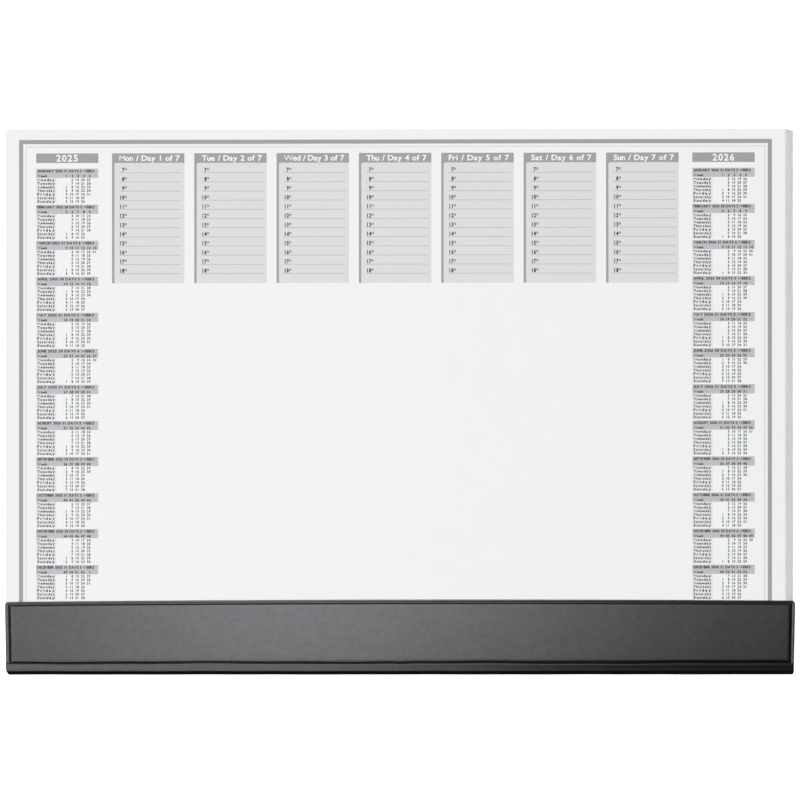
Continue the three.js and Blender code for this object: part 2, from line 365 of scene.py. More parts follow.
# %% Sheet stack
SHEET_THICKNESS = 0.1 * MM
SHEET_SHIFT = 0.05 * MM       # how far a sheet may lie off its place
NOTCH = 0.02 * MM             # between two sheets the edge falls back by this much
EDGE_PROFILE = ((0.0, NOTCH), (0.2, 0.0), (0.8, 0.0), (1.0, NOTCH))   # up one sheet, and inward
chance = np.random.default_rng(20250)


def block_corners():
    """Lower and upper corners of the leaning block, from the least and greatest x and y at that
    level: front left, front right, rear right, rear left."""
    points = np.array([v.co for v in nodes["sheet_block"].data.vertices])
    low, high = points[:, 2].min(), points[:, 2].max()
    found = []
    for level in (low, high):
        ring = points[abs(points[:, 2] - level) < SHEET_THICKNESS]
        x0, y0, _ = ring.min(0)
        x1, y1, _ = ring.max(0)
        found.append(np.array([(x0, y0, level), (x1, y0, level), (x1, y1, level), (x0, y1, level)]))
    return found


def sheet_stack():
    """Rings of four corners, four rings to a sheet: its edge, and a notch below and above.
    A corner is the lower one of the block plus its share of the way to the upper one."""
    low, high = block_corners()
    height = high[0, 2] - low[0, 2]
    count = round(height / SHEET_THICKNESS)
    outward = np.array([(-1, -1, 0), (1, -1, 0), (1, 1, 0), (-1, 1, 0)], float)
    rings = []
    for sheet in range(count):
        shift = np.append(chance.uniform(-SHEET_SHIFT, SHEET_SHIFT, 2), 0)
        if sheet == count - 1:
            shift[:] = 0
        for part, inward in EDGE_PROFILE:
            share = (sheet + part) / count
            if sheet == count - 1 and part == 1.0:
                inward = 0.0
            rings.append(low + (high - low) * share + shift - outward * inward)
    steps = np.arange(len(rings) - 1)[:, None] * 4
    side = np.arange(4)
    after = (side + 1) % 4
    walls = np.stack([steps + side, steps + after, steps + after + 4, steps + side + 4], -1)
    last = (len(rings) - 1) * 4
    lids = [[3, 2, 1, 0], [last, last + 1, last + 2, last + 3]]
    return np.array(rings), walls.reshape(-1, 4).tolist() + lids


stack_points, stack_faces = sheet_stack()
stack = add_piece("sheet_stack", stack_points, stack_faces, edge_paper)
stack.data.materials.append(sheet_paper)
stack.data.polygons[len(stack_faces) - 1].material_index = 1
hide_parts("sheet_block")

# %% [markdown]
# ## Lettering
#
# All lettering on the sheet is plain: hours, dates, week numbers, years, and the names of days and
# months. It could be an object for each word, but that makes hundreds of objects. Blender's own
# typeface gives the outlines instead: each character is turned into a small closed solid once,
# measured, and then copied by numpy to every place where it is needed, so thousands of characters
# cost little. A heavier weight is the same outline pushed out.

# %% One character
INK_RELIEF = 0.04 * MM        # the ink's thickness, more than real, to lie clear of the paper
JOIN = 1e-5                   # points closer than this are one, in the typeface's own units
CROSSING = "MW"               # pushed out, their strokes would cross, so they stay as they are
REGULAR, BOLD, HEAVY = 0.008, 0.026, 0.042   # how far an outline is pushed out, in those units


def outline(character, weight):
    """A character as the typeface has it, as a closed solid of depth 1: points and faces."""
    curve = bpy.data.curves.new("glyph", "FONT")
    curve.body = character
    curve.resolution_u = 2
    curve.extrude = 0.5
    curve.offset = 0.0 if character in CROSSING else weight
    holder = bpy.data.objects.new("glyph", curve)
    scene.collection.objects.link(holder)
    shape = bmesh.new()
    shape.from_mesh(holder.evaluated_get(bpy.context.evaluated_depsgraph_get()).to_mesh())
    bmesh.ops.remove_doubles(shape, verts=shape.verts, dist=JOIN)
    bmesh.ops.recalc_face_normals(shape, faces=shape.faces)
    points = np.array([v.co for v in shape.verts])
    faces = [[v.index for v in f.verts] for f in shape.faces]
    shape.free()
    bpy.data.objects.remove(holder)
    points[:, 2] += 0.5
    return points, faces


CAP_HEIGHT = float(outline("H", REGULAR)[0][:, 1].max())
glyphs = {}


def glyph(character, weight):
    """A character of cap height 1 with its left edge at 0: points, faces and width. It is made
    once for each weight and kept."""
    if (character, weight) not in glyphs:
        points, faces = outline(character, weight)
        points[:, :2] = (points[:, :2] - (points[:, 0].min(), 0)) / CAP_HEIGHT
        glyphs[character, weight] = (points, faces, points[:, 0].max())
    return glyphs[character, weight]


print("cap height of the typeface:", round(CAP_HEIGHT, 3))

# %% [markdown]
# A word is set from left to right by the widths of its characters. Printed tables stand in
# columns, so a word can also end at a place, stand around it, or be spread to a given width, as
# the day names of the small calendars are.

# %% Setting words
LETTER_GAP = 0.17             # between two characters, in cap heights
WORD_GAP = 0.5
NARROW_DIGITS = "123456789"   # set as wide as a nought


class Lettering:
    """Collects placed characters, then becomes one mesh."""

    def __init__(self):
        self.points, self.faces, self.count = [], [], 0

    def word(self, text, x, y, z, cap, weight=BOLD, align=0.0, spread=None, gap=LETTER_GAP,
             wide=1.0):
        """Sets text with its baseline at y. align 0 is from x, 0.5 is around x, 1 is up to x.
        spread is a width that the letters are spaced out to fill, and wide stretches them.
        All digits take the width of a nought, so that they stand in columns. The end of the
        line is returned."""
        shown = ["0" if c in NARROW_DIGITS else c for c in text]
        widths = [WORD_GAP if c == " " else wide * glyph(c, weight)[2] for c in shown]
        if spread:
            gap = (spread / cap - sum(widths)) / (len(text) - 1)
        pen = x - align * cap * (sum(widths) + gap * (len(text) - 1))
        for character, width in zip(text, widths):
            if character != " ":
                points, faces, own = glyph(character, weight)
                start = pen + (width - own * wide) * cap / 2
                placed = points * (cap * wide, cap, INK_RELIEF) + (start, y, z)
                self.points.append(placed)
                self.faces += [[i + self.count for i in face] for face in faces]
                self.count += len(placed)
            pen += (width + gap) * cap
        return pen - gap * cap

    def bar(self, x0, x1, y0, y1, z):
        """A flat bar of ink between two corners."""
        corners = [(x0, y0), (x1, y0), (x1, y1), (x0, y1)]
        placed = [(x, y, z + lift) for lift in (0, INK_RELIEF) for x, y in corners]
        sides = [(3, 2, 1, 0), (4, 5, 6, 7), (0, 1, 5, 4), (1, 2, 6, 5), (2, 3, 7, 6), (3, 0, 4, 7)]
        self.points.append(np.array(placed))
        self.faces += [[i + self.count for i in side] for side in sides]
        self.count += 8

    def piece(self, name, material, slot):
        """All that was collected, as one piece of the scene."""
        return add_piece(name, np.concatenate(self.points), self.faces, material)


print("width of an n:", round(float(glyph("n", REGULAR)[2]), 2), "cap heights")

# %% [markdown]
# ## The printed layout
#
# The dark head of each day, the pale field below it and the month bands are solids of the frame,
# so the lettering is placed from their boxes and stays with them. The sizes below are those of
# the printed sheet: twelve ruled hours in each day, with small raised noughts for the minutes.

# %% The seven days
sheet_top = float(block_corners()[1][0, 2])
field_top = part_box("print_day_field_1")[1].z
HOUR_COUNT, FIRST_HOUR = 12, 7
FIRST_RULE = 7.5 * MM         # from the head bar down to the first hour's rule
HOUR_PITCH = 6.89 * MM
RULE_WIDTH = 0.42 * MM
HOUR_LIFT = 0.75 * MM         # from a rule up to the foot of its hour
RULE_INSET = 5.4 * MM         # from the day's left edge
RULE_END = 2.3 * MM           # from its right edge
HOUR_RIGHT = 9.3 * MM         # right edge of the hour's digits
HOUR_CAP, HOUR_STRETCH = 2.85 * MM, 0.78
MINUTE_CAP, MINUTE_STRETCH = 1.65 * MM, 0.62
MINUTE_GAP = 0.2 * MM
DIGIT_GAP = 0.1               # between two digits, in cap heights
DAY_CAP, DAY_STRETCH = 4.0 * MM, 1.12
DAY_INSET, DAY_WIDTH = 5.6 * MM, 45.5 * MM

hour_rules, hour_numbers, day_names = Lettering(), Lettering(), Lettering()
for day in range(7):
    head_low, head_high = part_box(f"print_day_head_{day + 1}")
    field_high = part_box(f"print_day_field_{day + 1}")[1]
    bar_middle = (head_high.y + field_high.y) / 2
    day_names.word(f"{calendar.day_abbr[day]} / Day {day + 1} of 7", head_low.x + DAY_INSET,
                   bar_middle - DAY_CAP / 2, field_top, DAY_CAP, wide=DAY_STRETCH,
                   spread=DAY_WIDTH)
    for hour in range(HOUR_COUNT):
        rule = field_high.y - FIRST_RULE - HOUR_PITCH * hour
        hour_rules.bar(head_low.x + RULE_INSET, head_high.x - RULE_END,
                       rule - RULE_WIDTH / 2, rule + RULE_WIDTH / 2, field_top)
        baseline = rule + HOUR_LIFT
        digits_end = head_low.x + HOUR_RIGHT
        hour_numbers.word(str(FIRST_HOUR + hour), digits_end, baseline, field_top, HOUR_CAP,
                          weight=HEAVY, align=1.0, gap=DIGIT_GAP, wide=HOUR_STRETCH)
        hour_numbers.word("00", digits_end + MINUTE_GAP, baseline + HOUR_CAP - MINUTE_CAP,
                          field_top, MINUTE_CAP, gap=DIGIT_GAP, wide=MINUTE_STRETCH)
hour_rules.piece("hour_rules", ink_rule, "ink_mid_grey")
hour_numbers.piece("hour_numbers", ink_black, "ink_dark_grey")
day_names.piece("day_names", bare_paper, "sheet_paper")

# %% [markdown]
# ## The small calendars
#
# Down each side runs a year of twelve small months. Weeks stand as columns and days as rows,
# Monday first, with the week's number in the band above. Python's own calendar gives the dates,
# so no table is typed in. The light field on the left of each month holds the names of the days,
# each spread to the same width.

# %% The twelve months of each side
YEARS = {"left": 2025, "right": 2026}
SMALL_CAP = 1.75 * MM
TITLE_CAP = 1.8 * MM
TITLE_WIDTH = 43 * MM
TITLE_BASELINE = 2.65 * MM    # from the band's rear edge down
WEEK_BASELINE = 6.3 * MM
FIRST_DATE_BASELINE = 9.25 * MM
DATE_PITCH = 2.71 * MM
FIRST_WEEK_RIGHT = 23.6 * MM  # right edge of the first week's column, from the band's left end
WEEK_PITCH = 4.37 * MM
LABEL_INSET = 0.9 * MM
LABEL_WIDTH = 13.2 * MM
LABEL_LETTERS, TITLE_LETTERS = 8, 28   # a longer line is set narrower, a shorter one wider
WEEK_DIGIT_GAP = 0.12
LABEL_FIELD = 15.2 * MM
LABEL_FIELD_DEPTH = 19.2 * MM
YEAR_CAP = 4.9 * MM


def month_titles(lettering, box, year, month):
    """Title line and the word before the week numbers, in the band of the month. Returns the
    band's left end and rear edge."""
    left, rear = box[0].x, box[1].y
    days = calendar.monthrange(year, month)[1]
    weeks = len(calendar.monthcalendar(year, month))
    title = f"{calendar.month_name[month].upper()} {year} {days} DAYS {weeks} WEEKS"
    lettering.word(title, left + LABEL_INSET, rear - TITLE_BASELINE, box[1].z, TITLE_CAP,
                   weight=HEAVY, spread=TITLE_WIDTH, wide=TITLE_LETTERS / len(title))
    lettering.word("Week", left + LABEL_INSET, rear - WEEK_BASELINE, box[1].z, SMALL_CAP,
                   weight=HEAVY)
    return left, rear


def month_dates(titles, dates, labels, box, year, month):
    """Week numbers, dates and day names of one month. A week stands a pitch to the right of
    the one before, and a day a pitch below the one before."""
    left, rear = month_titles(titles, box, year, month)
    weeks = calendar.Calendar(firstweekday=0).monthdayscalendar(year, month)
    for column, week in enumerate(weeks):
        right = left + FIRST_WEEK_RIGHT + WEEK_PITCH * column
        first = datetime.date(year, month, min(date for date in week if date))
        number = first.isocalendar()[1]
        titles.word(str(number), right, rear - WEEK_BASELINE, box[1].z, SMALL_CAP, weight=HEAVY,
                    align=1.0, gap=WEEK_DIGIT_GAP)
        for row, date in enumerate(week):
            if date:
                dates.word(str(date), right, rear - FIRST_DATE_BASELINE - DATE_PITCH * row,
                           sheet_top, SMALL_CAP, weight=HEAVY, align=1.0, gap=DIGIT_GAP)
    for row, name in enumerate(calendar.day_name):
        labels.word(name, left + LABEL_INSET, rear - FIRST_DATE_BASELINE - DATE_PITCH * row,
                    sheet_top + INK_RELIEF, SMALL_CAP, weight=HEAVY,
                    wide=LABEL_LETTERS / len(name), spread=LABEL_WIDTH)


label_fields, year_numbers = Lettering(), Lettering()
for side, year in YEARS.items():
    titles, dates, labels = Lettering(), Lettering(), Lettering()
    for month in range(1, 13):
        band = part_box(f"print_month_{side}_{month}")
        month_dates(titles, dates, labels, band, year, month)
        label_fields.bar(band[0].x, band[0].x + LABEL_FIELD, band[0].y - LABEL_FIELD_DEPTH,
                         band[0].y, sheet_top)
    titles.piece(f"month_titles_{side}", ink_black, "ink_dark_grey")
    dates.piece(f"dates_{side}", ink_soft, "ink_dark_grey")
    labels.piece(f"weekday_labels_{side}", ink_black, "ink_dark_grey")
    low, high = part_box(f"print_year_{side}")
    year_numbers.word(str(year), (low.x + high.x) / 2, (low.y + high.y - YEAR_CAP) / 2, high.z,
                      YEAR_CAP, align=0.5)
label_fields.piece("label_fields", ink_faint, "ink_pale_grey")
year_numbers.piece("year_numbers", bare_paper, "sheet_paper")

# %% [markdown]
# ## The fine inner line
#
# Inside the dark frame runs a pale line, 1.5 mm in from it. Like the frame, it goes on under the
# strip. It is made of the same flat bars as the rules of the hours.

# %% Inner line
LINE_GAP = 1.5 * MM
LINE_WIDTH = 1.4 * MM
left_low, left_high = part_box("print_frame_left")
line_left = left_high.x + LINE_GAP
line_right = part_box("print_frame_right")[0].x - LINE_GAP
line_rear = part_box("print_frame_rear")[0].y - LINE_GAP
inner_line = Lettering()
inner_line.bar(line_left, line_right, line_rear - LINE_WIDTH, line_rear, sheet_top)
for x0 in (line_left, line_right - LINE_WIDTH):
    inner_line.bar(x0, x0 + LINE_WIDTH, left_low.y, line_rear - LINE_WIDTH, sheet_top)
inner_line.piece("inner_line", ink_faint, "ink_pale_grey")

# %% [markdown]
# ## The strip
#
# The strip is two films with card between them, welded together around the edge. The weld leaves
# a raised rim outside a thin groove, and the film rises from the groove over the card. Along the
# front a second weld makes the hinge on which the top panel bends up. In front of it the film
# goes over the edge, down the sloping wall and back under the board.
#
# The shape is one sheet of points: a row for each place along the section, a column for each
# place along the strip. A point starts on the inner film and is pushed out of the strip by the
# height of the outer film there. The height depends on the distance to the nearest welded edge,
# so corners get their mitres by themselves.

# %% Sizes of the strip
cover_low, cover_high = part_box("strip_cover")
lining_low, lining_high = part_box("strip_lining")
HALF_WIDTH = cover_high.x
FILM, WELD, CARD, LINING = 0.5 * MM, 0.15 * MM, 0.9 * MM, 0.25 * MM   # thicknesses
RIM, RIM_FALL, GROOVE = 1.5 * MM, 0.4 * MM, 0.4 * MM   # widths, from the welded edge inwards
GROOVE_END = RIM + RIM_FALL + GROOVE
RIM_FOOT = 0.62               # the rim's bead starts at this share of the film's thickness
SHOULDER = 2.3 * MM           # how far the rise to the panel takes, at the rear
RISE_POWER = 3.2              # a higher power is steeper in the groove
END_SHOULDER = 3.8 * MM       # at the two ends the rise is longer
END_POWER = 1.9               # and gentler
SETBACK = 0.4 * MM            # where the film leaves the lining, beyond the groove
HINGE_FRONT = cover_low.y + 8.6 * MM
HINGE_WIDTH = 0.06 * MM       # the valley of the hinge has next to no floor
HINGE_SHOULDER, HINGE_POWER = 3.4 * MM, 4   # its rise to the panel
BAND_RISE, BAND_POWER = 0.9 * MM, 2        # the rise from the hinge to the band in front of it
BAND_TOP, BAND_END = 1.4 * MM, 0.62 * MM   # its film's height there, and at the front bend
BAND_LEAN = math.radians(1.5)              # the front bend starts this much past the level
CORNER = 2.5 * MM             # radius of the rounded corners
FLAP_DEPTH = 45 * MM
FLAP_ROUND = 0.8 * MM         # over this much the flap's rear edge is rounded off
BEND = 0.8 * MM               # radius of the lining in the two bends of the front wall
WALL_LEAN = 0.32              # the front wall leans back this much for each unit up
LOW_BEND_Y, LOW_BEND_Z = cover_low.y + BEND + CARD + FILM, lining_low.z + BEND
HIGH_BEND_Z = lining_high.z - BEND
HIGH_BEND_Y = LOW_BEND_Y + (HIGH_BEND_Z - LOW_BEND_Z) * WALL_LEAN
print("height of the front wall, mm:", round((HIGH_BEND_Z - LOW_BEND_Z) / MM, 3))


def padded_rise(share, power=RISE_POWER):
    """Rises as film does over a padded edge: 1 minus a power of what is left of the way, so it
    is steep in the valley and level at 1."""
    return 1 - (1 - np.clip(share, 0, 1)) ** power


def eased(share):
    """Goes from 0 to 1 with a level start and end: three squares minus two cubes."""
    share = np.clip(share, 0, 1)
    return share * share * (3 - 2 * share)


def outer_height(d, shoulder=SHOULDER, power=RISE_POWER):
    """Height of the outer film over the lining, a distance d in from a welded edge: a rounded
    bead for the rim, a fall into the groove, then the rounded rise to the panel."""
    arch = np.sqrt(np.clip(1 - ((d - RIM / 2) / (RIM / 2)) ** 2, 0, 1))
    bead = FILM * (RIM_FOOT + (1 - RIM_FOOT) * arch)
    fall = WELD + (FILM * RIM_FOOT - WELD) * (1 - eased((d - RIM) / RIM_FALL))
    rise = WELD + (CARD + FILM - WELD) * padded_rise((d - GROOVE_END) / shoulder, power)
    return np.where(d < RIM, bead, np.where(d < GROOVE_END, fall, rise))


def inner_height(d):
    """Height of the film's inner side: on the lining up to the groove, then up to the card."""
    return CARD * padded_rise((d - GROOVE_END - SETBACK) / (SHOULDER - 2 * SETBACK))


# %% [markdown]
# The section is walked from the rear edge of the top panel to the rear edge of the bottom flap,
# as the film would be unrolled. Each row keeps where the lining is, which way is out, how high the
# two sides of the film stand, and how far the nearest free edge is. Rows stand close together
# where the film curves, and far apart where it is flat.

# %% Section of the strip
CROWDING = 1.6                # how much closer the rows of a shoulder stand at its foot
BAND_CROWDING = 1.5
CARD_KEPT = 1 / 6             # share of the lower bend before the card gets thinner


def top_rows():
    """Rows on the flat top: the edge profile at the rear, then the panel, the valley of the
    hinge, and the band, whose film gets evenly lower towards the front bend."""
    rear = cover_high.y
    edge = np.concatenate([np.linspace(0, RIM, 9), np.linspace(RIM, GROOVE_END, 9)[1:],
                           GROOVE_END + SHOULDER * np.linspace(0, 1, 12)[1:] ** CROWDING])
    y, outer, inner, free = [rear - edge], [outer_height(edge)], [inner_height(edge)], [edge]
    hinge_rear = HINGE_FRONT + HINGE_WIDTH
    middle = np.linspace(rear - edge[-1], hinge_rear + HINGE_SHOULDER, 9)[1:-1]
    shoulder = HINGE_SHOULDER * np.linspace(1, 0, 12) ** CROWDING
    climb = padded_rise(shoulder / HINGE_SHOULDER, HINGE_POWER)
    lifted = padded_rise((shoulder - SETBACK) / (HINGE_SHOULDER - 2 * SETBACK))
    groove = np.linspace(hinge_rear, HINGE_FRONT, 5)[1:]
    band_depth = HINGE_FRONT - HIGH_BEND_Y
    band = np.concatenate([BAND_RISE * np.linspace(0, 1, 7)[1:] ** BAND_CROWDING,
                           np.linspace(BAND_RISE, band_depth, 5)[1:-1]])
    band_film = WELD + (BAND_TOP - WELD) * padded_rise(band / BAND_RISE, BAND_POWER)
    band_film = band_film - (BAND_TOP - BAND_END) * band / band_depth
    y += [middle, hinge_rear + shoulder, groove, HINGE_FRONT - band]
    outer += [0 * middle + CARD + FILM, WELD + (CARD + FILM - WELD) * climb, 0 * groove + WELD,
              band_film]
    inner += [0 * middle + CARD, CARD * lifted, 0 * groove, np.clip(band_film - FILM, 0, None)]
    free += [rear - middle, rear - hinge_rear - shoulder, rear - groove,
             rear - HINGE_FRONT + band]
    y = np.concatenate(y)
    return np.stack([y, 0 * y + lining_high.z, 0 * y, 0 * y + 1, np.concatenate(outer),
                     np.concatenate(inner), np.concatenate(free)], -1)


def bend_rows(centre_y, centre_z, start, end, outer, inner, count):
    """Rows round a bend, from the angle start to the angle end above the level. outer and inner
    give the film's heights from the share of the way round."""
    share = np.linspace(0, 1, count)
    angle = start + (end - start) * share
    out_y, out_z = -np.cos(angle), np.sin(angle)
    far = 0 * share + 1.0
    return np.stack([centre_y + BEND * out_y, centre_z + BEND * out_z, out_y, out_z,
                     outer(share), inner(share), far], -1)


def flap_rows(start_y):
    """Rows of the plain bottom flap, up to its rear edge."""
    free = np.concatenate([np.linspace(FLAP_DEPTH, CORNER, 9), CORNER * np.linspace(1, 0, 9)[1:]])
    y = start_y + FLAP_DEPTH - free
    edge = FILM * (RIM_FOOT + (1 - RIM_FOOT) * padded_rise(free / FLAP_ROUND))
    return np.stack([y, 0 * y + lining_low.z, 0 * y, 0 * y - 1, edge, 0 * y, free], -1)


def swell(share):
    """Round the upper bend the film rises from the band to full height, with the square of the
    way."""
    return BAND_END + (CARD + FILM - BAND_END) * share ** 2


def thin_out(share):
    """Round the lower bend the card keeps its height for a while, and then its height falls
    with the square of what is left of the way."""
    return CARD * np.clip((1 - share) / (1 - CARD_KEPT), 0, 1) ** 2


def strip_section():
    """All rows in order: y, z, the outward direction, both heights, distance to a free edge."""
    slope = math.atan(WALL_LEAN)
    upper = bend_rows(HIGH_BEND_Y, HIGH_BEND_Z, math.pi / 2 - BAND_LEAN, slope,
                      swell, lambda share: swell(share) - FILM, 13)
    lower = bend_rows(LOW_BEND_Y, LOW_BEND_Z, slope, -math.pi / 2,
                      lambda share: FILM + thin_out(share), thin_out, 14)
    return np.concatenate([top_rows(), upper, lower, flap_rows(LOW_BEND_Y)[1:]])


section = strip_section()
print("rows in the strip's section:", len(section))

# %% [markdown]
# Real film is never quite flat. The rear edge bows a little, the hinge wanders, the ends draw in
# towards the front, and the panel has faint long waves that break up its reflection. It could be
# sculpted or left to a displacement texture, but then the two films might part. So all of it is
# added as smooth functions of the place. What moves the film sideways is the same for both films,
# and the waves, much lower than the film is thick, are in its outer side alone.

# %% Bends of the strip's outline
BULGE = 1.7 * MM              # the rear edge bows back, most a little right of the middle
BULGE_CENTRE, BULGE_REACH = 45 * MM, 343 * MM
TAPER = 0.9 * MM              # the ends draw in towards the front
FLAP_INSET, FLAP_EASE = 0.8 * MM, 3 * MM   # the flap is cut shorter, eased in down the wall
TOP_EASE = 0.5 * MM           # just below the top, what moves the top sideways dies out
HINGE_WANDER, HINGE_REACH = 0.22 * MM, 3 * MM   # how far the hinge wanders, and what it takes along
WANDER_WAVES = ((31 * MM, 0, 1), (11.3 * MM, 1.7, 0.6))   # along x, start, height
KINK_PLACE, KINK_WIDTH, KINK = 1.5 * MM, 4 * MM, 2.4   # near the middle the hinge jumps forward
UPRIGHT = 0.99                # an outward direction this far up belongs to the flat top


def strip_columns():
    """Distances from the strip's left end to each column: dense at the ends, even between."""
    edge = np.concatenate([np.linspace(0, RIM, 9), np.linspace(RIM, GROOVE_END, 9)[1:],
                           GROOVE_END + END_SHOULDER * np.linspace(0, 1, 14)[1:] ** CROWDING])
    inner = np.linspace(edge[-1], 2 * HALF_WIDTH - edge[-1], 121)[1:-1]
    return np.concatenate([edge, inner, 2 * HALF_WIDTH - edge[::-1]])


def end_inset(free, y, z):
    """How far a row's ends draw in: a quarter circle at the corners, plus the taper of the top
    and the shorter cut of the flap."""
    missing = np.clip(CORNER - free, 0, CORNER)
    inset = CORNER - np.sqrt(CORNER ** 2 - missing ** 2)
    front_share = eased((cover_high.y - y) / (cover_high.y - cover_low.y))
    inset = inset + TAPER * front_share * (free > CORNER)
    return inset + FLAP_INSET * eased((lining_high.z - FLAP_EASE - z) / FLAP_EASE)


def hinge_wander(x):
    """Two waves along the hinge, and one bell-shaped kink forward."""
    wander = sum(high * np.sin(x / along + start) for along, start, high in WANDER_WAVES)
    return wander - KINK * np.exp(-((x - KINK_PLACE) / KINK_WIDTH) ** 2)


def film_side(rows, columns, height):
    """Points of one side of a film. height takes the rows, the distances to the strip's end and
    the x of each point, and gives how far each point stands out of the lining."""
    y, z, out_y, out_z, _, _, free = rows.T[:, :, None]
    along = columns[None, :]
    to_end = np.minimum(along, 2 * HALF_WIDTH - along)
    side = np.sign(along - HALF_WIDTH)
    inset = end_inset(free, y, z)
    x = along - HALF_WIDTH - side * inset * np.clip(abs(along / HALF_WIDTH - 1), 0, 1)
    on_top = eased((z - lining_high.z + TOP_EASE) / TOP_EASE) * (out_z > UPRIGHT)
    reach = (y - HINGE_FRONT) / (cover_high.y - HINGE_FRONT)
    bulge = BULGE * (1 - ((x - BULGE_CENTRE) / BULGE_REACH) ** 2) * np.clip(reach, 0, 1)
    near_hinge = np.exp(-((y - HINGE_FRONT) / HINGE_REACH) ** 2) * on_top
    stand = height(rows, to_end, x)
    y_out = y + on_top * bulge + near_hinge * HINGE_WANDER * hinge_wander(x) + out_y * stand
    return np.stack([x + 0 * y_out, y_out, z + out_z * stand], -1)


columns = strip_columns()
print("points in one side of the film:", len(section), "by", len(columns))

# %% [markdown]
# The four sides of the two films differ only in how far they stand out of the lining. The outer
# side of the leatherette is the one that is seen. It takes the lower of what the section and the
# strip's ends allow, so that the grooves meet in mitres at the corners. In front of the hinge
# there is no groove at the ends, and the film is only rounded off.

# %% Heights of the films
END_ROUND, END_FOOT = 1.6 * MM, 0.5   # over this much, up from this share of the height
WAVE = 0.035 * MM
PANEL_WAVES = ((23 * MM, 14 * MM, 0), (9.1 * MM, -31 * MM, 2))   # along x, along y, start
SCUFF = (-85.5 * MM, cover_low.y + 6.9 * MM)   # a small raised scuff on the band
SCUFF_RISE, SCUFF_WIDTH, SCUFF_DEPTH = 0.12 * MM, 0.45 * MM, 1.3 * MM


def cover_outer(rows, to_end, x):
    """The lower of the section's height and the end's, with faint waves and the scuff on top."""
    y, outer, free = rows[:, 0:1], rows[:, 4:5], rows[:, 6:7]
    edge = np.minimum(to_end, free)
    stand = np.minimum(outer, outer_height(to_end, END_SHOULDER, END_POWER))
    stand = np.where(edge < GROOVE_END, outer_height(edge), stand)
    plain_end = outer * (END_FOOT + (1 - END_FOOT) * padded_rise(to_end / END_ROUND))
    stand = np.where(y < HINGE_FRONT, plain_end, stand)
    padded = eased((stand - FILM) / CARD)
    waves = sum(np.sin(x / along + y / across + start) for along, across, start in PANEL_WAVES)
    far = ((x - SCUFF[0]) / SCUFF_WIDTH) ** 2 + ((y - SCUFF[1]) / SCUFF_DEPTH) ** 2
    scuff = SCUFF_RISE * np.exp(-far) * (rows[:, 3:4] > UPRIGHT)
    return stand + padded * WAVE * waves + scuff


def cover_inner(rows, to_end, x):
    """The lower of the section's inner height and that of the nearest edge."""
    inner, free = rows[:, 5:6], rows[:, 6:7]
    return np.minimum(inner, inner_height(np.minimum(to_end, free))) + 0 * x


def lining_outer(rows, to_end, x):
    """The lining itself, so it stands out of it by nothing."""
    return 0 * x + 0 * rows[:, 0:1]


def lining_inner(rows, to_end, x):
    """The lining's thickness, inwards."""
    return lining_outer(rows, to_end, x) - LINING


print("highest film over the lining, mm:", round(float(section[:, 4].max()) / MM, 2))

# %% [markdown]
# Solidify could give a single surface its thickness, but here the two sides differ: the card lies
# between them. So each side is its own grid of points, and a wall of faces round the edge closes
# them into one film.

# %% Cover and lining
FILM_SMOOTH = 38              # degrees: sharper edges stay sharp


def folded_film(outer, inner):
    """Closes two grids of points into a film: a quad for each cell of both sides, the inner one
    turned round, and a wall of quads along the four edges."""
    down, across = outer.shape[:2]
    index = np.arange(down * across).reshape(down, across)
    under = index + down * across

    def sheet(grid, order):
        corners = (grid[:-1, :-1], grid[1:, :-1], grid[1:, 1:], grid[:-1, 1:])
        return np.stack([corners[i] for i in order], -1).reshape(-1, 4)

    def wall(a, b):
        return np.stack([a[:-1], a[1:], b[1:], b[:-1]], -1)

    faces = [sheet(index, (0, 1, 2, 3)), sheet(under, (3, 2, 1, 0)),
             wall(index[0], under[0]), wall(index[-1, ::-1], under[-1, ::-1]),
             wall(index[::-1, 0], under[::-1, 0]), wall(index[:, -1], under[:, -1])]
    points = np.concatenate([outer.reshape(-1, 3), inner.reshape(-1, 3)])
    return points, np.concatenate(faces).tolist()


def film_piece(name, outer, inner, material):
    """One film, from the heights of its two sides."""
    points, faces = folded_film(film_side(section, columns, outer),
                                film_side(section, columns, inner))
    return add_piece(name, points, faces, material, smooth_angle=FILM_SMOOTH)


cover = film_piece("leatherette_cover", cover_outer, cover_inner, leatherette)
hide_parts("strip_cover")
lining = film_piece("inner_film", lining_outer, lining_inner, lining_film)
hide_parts("strip_lining")

# %% [markdown]
# ## Floor
#
# The pad lies on a plain white table. In the picture the table is pure white and has no shadow,
# so it glows as well as being lit. It isn't seen in reflections, so the dark film's front and
# sides stay dark.

# %% Floor
def white_table():
    """Matt white, with a glow of its own that covers what shadow the pad would cast."""
    material, tree, output = new_material("white_table")
    shader = add_node(tree, "ShaderNodeBsdfPrincipled",
                      {"Base Color": linear("#bcbcbc"), "Roughness": 1.0,
                       "Specular IOR Level": 0.0, "Emission Color": (1, 1, 1, 1),
                       "Emission Strength": 0.9})
    finish_material(tree, output, shader)
    return material


FLOOR_REACH = 4.0
FLOOR_DROP = 0.02 * MM        # a hair below the pad, so that the two don't flicker
floor_mesh = bpy.data.meshes.new("floor")
floor_mesh.from_pydata([(x * FLOOR_REACH, y * FLOOR_REACH, -FLOOR_DROP)
                        for x, y in ((-1, -1), (1, -1), (1, 1), (-1, 1))], [], [(0, 1, 2, 3)])
floor_mesh.materials.append(white_table())
floor = bpy.data.objects.new("floor", floor_mesh)
floor.visible_glossy = False
scene.collection.objects.link(floor)
print("floor, m:", 2 * FLOOR_REACH, "square")

# %% [markdown]
# ## Light
#
# The sheets are lit evenly, and only their right flank is a little darker. One very large lamp
# far above, a little to the left, does both. It is as wide as a room, and so soft that nothing
# casts a hard shadow. The surround gives hardly any light. Neither the lamp nor the table is
# seen in reflections, because the film has reflections of its own, made below.

